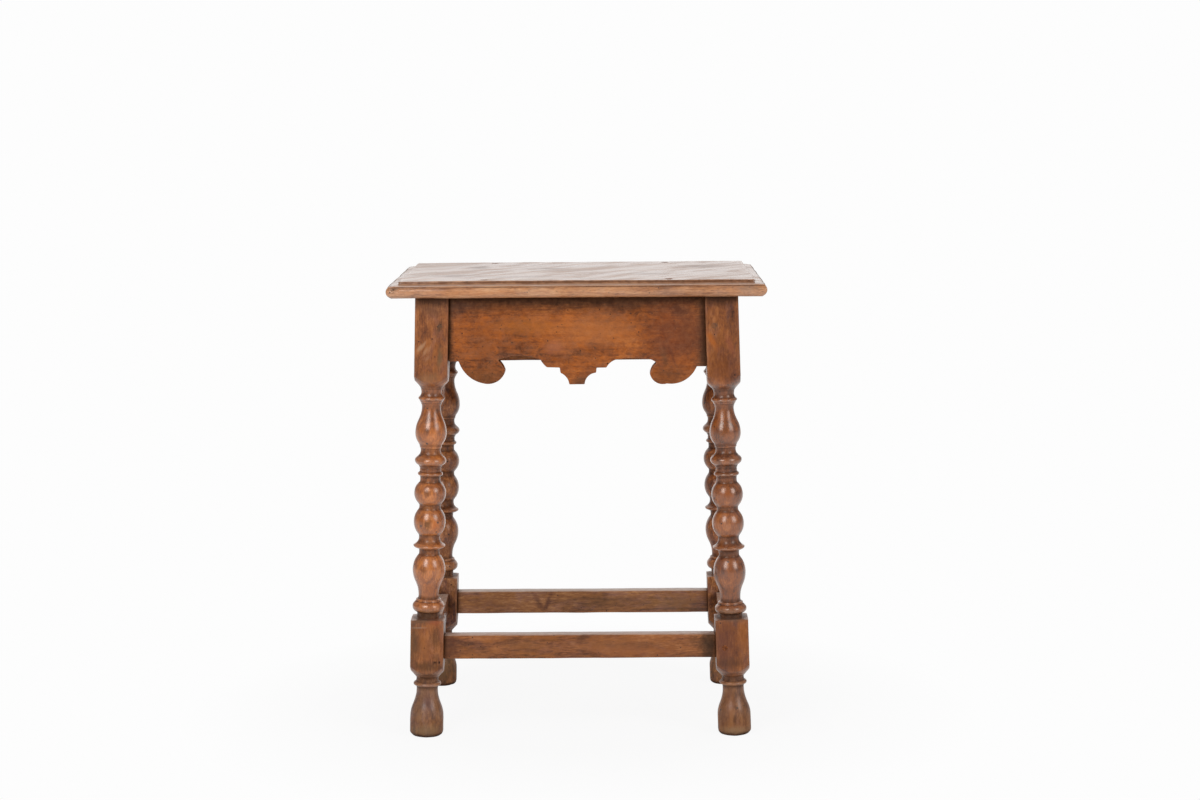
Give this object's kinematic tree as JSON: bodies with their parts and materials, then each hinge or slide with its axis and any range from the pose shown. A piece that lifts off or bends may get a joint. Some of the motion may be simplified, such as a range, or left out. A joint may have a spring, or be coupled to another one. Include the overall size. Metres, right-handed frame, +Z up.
{
  "type": "joined stool",
  "caption": "Joined wooden stool with turned, slightly raked legs, pegged rails and stretchers, a scalloped front rail and a moulded rectangular top.",
  "frame": {"origin": "on the floor, below the middle of the board", "axes": "+Z up, -Y towards the front with the scalloped rail, +X to the right seen from the front"},
  "size_m": [0.45, 0.332, 0.5545],
  "materials": {
    "board_walnut": "waxed, worn",
    "frame_walnut": "waxed, worn",
    "peg_wood": "waxed, worn"
  },
  "bodies": {
    "root": {"top_board": "board_walnut", "leg_front_left": "frame_walnut", "leg_front_right": "frame_walnut", "leg_rear_left": "frame_walnut", "leg_rear_right": "frame_walnut", "front_rail": "frame_walnut", "rear_rail": "frame_walnut", "side_rail_left": "frame_walnut", "side_rail_right": "frame_walnut", "stretcher_front": "frame_walnut", "stretcher_rear": "frame_walnut", "stretcher_left": "frame_walnut", "stretcher_right": "frame_walnut", "rail_pegs": "peg_wood", "stretcher_pegs": "peg_wood", "board_pegs": "peg_wood"}
  },
  "joints": []
}
